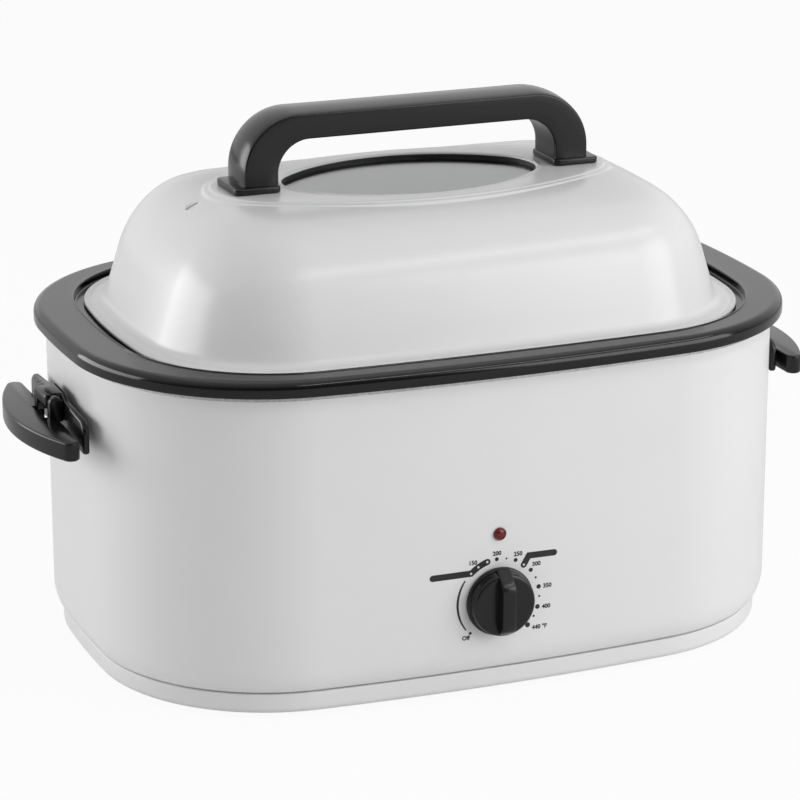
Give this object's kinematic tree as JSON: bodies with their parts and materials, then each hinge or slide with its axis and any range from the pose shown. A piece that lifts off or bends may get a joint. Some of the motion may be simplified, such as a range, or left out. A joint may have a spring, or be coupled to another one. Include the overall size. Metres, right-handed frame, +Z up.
{
  "type": "electric roaster oven",
  "caption": "Free-standing electric roaster oven with a lift-off domed lid, oval window, arched handle, lift-out enamelled pan, wire rack and front temperature knob.",
  "frame": {"origin": "middle of the footprint, on the plane the feet stand on", "axes": "+Z up, +X along the long side, the knob faces -Y"},
  "size_m": [0.608, 0.3855, 0.3986],
  "materials": {
    "white_paint": "satin, baked paint",
    "white_enamel": "gloss, fired enamel",
    "black_enamel": "gloss, fired enamel with fine speckle",
    "coated_steel": "satin, aluminised",
    "bare_steel": "satin, zinc plated",
    "plated_wire": "bright, nickel plated",
    "band_metal": "matt, heat tinted",
    "glass_wool": "matt, fibrous",
    "lamp_ceramic": "matt, unglazed",
    "red_lens": "gloss, clear red",
    "wire_sleeve": "matt",
    "handle_plastic": "satin, moulded phenolic",
    "knob_plastic": "satin, moulded phenolic",
    "feet_rubber": "matt",
    "gasket_rubber": "satin, silicone",
    "window_glass": "clear, tempered"
  },
  "bodies": {
    "casing": {"outer_shell": "white_paint", "base_pan": "white_paint", "rubber_feet": "feet_rubber", "foot_screws": "bare_steel", "cooking_well": "coated_steel", "heating_band": "band_metal", "insulation_blanket": "glass_wool", "tie_strap": "bare_steel", "tie_bolt": "bare_steel", "thermostat": "lamp_ceramic", "thermostat_bracket": "bare_steel", "thermostat_screws": "bare_steel", "pilot_lens": "red_lens", "pilot_lamp": "lamp_ceramic", "terminal_block": "lamp_ceramic", "lead_wires": "wire_sleeve", "cord_gland": "handle_plastic", "handle_bracket_left": "handle_plastic", "handle_bracket_right": "handle_plastic", "side_grip_left": "handle_plastic", "side_grip_right": "handle_plastic", "grip_pins": "bare_steel", "bracket_screws": "bare_steel"},
    "pan": {"roasting_pan": "black_enamel"},
    "rack": {"wire_rack": "plated_wire"},
    "lid": {"lid_shell": "white_enamel", "window_gasket": "gasket_rubber", "window_glass": "window_glass", "window_retainer": "bare_steel", "retainer_screws": "bare_steel", "lid_handle": "handle_plastic", "collar_left": "handle_plastic", "collar_right": "handle_plastic", "lid_handle_screws": "bare_steel", "lid_handle_washers": "bare_steel"},
    "control": {"knob": "knob_plastic", "thermostat_shaft": "bare_steel", "shaft_clip": "bare_steel"}
  },
  "joints": [
    {"name": "pan_lift", "type": "slide", "parent": "casing", "child": "pan", "axis": [0, 0, 1], "range_m": [0, 0.22]},
    {"name": "lid_lift", "type": "slide", "parent": "pan", "child": "lid", "axis": [0, 0, 1], "range_m": [0, 0.2]},
    {"name": "rack_lift", "type": "slide", "parent": "pan", "child": "rack", "axis": [0, 0, 1], "range_m": [0, 0.195]},
    {"name": "knob_turn", "type": "hinge", "parent": "casing", "child": "control", "pos_m": [-0.004, -0.1727, 0.0726], "axis": [0, 1, 0], "range_deg": [-135, 135]}
  ]
}
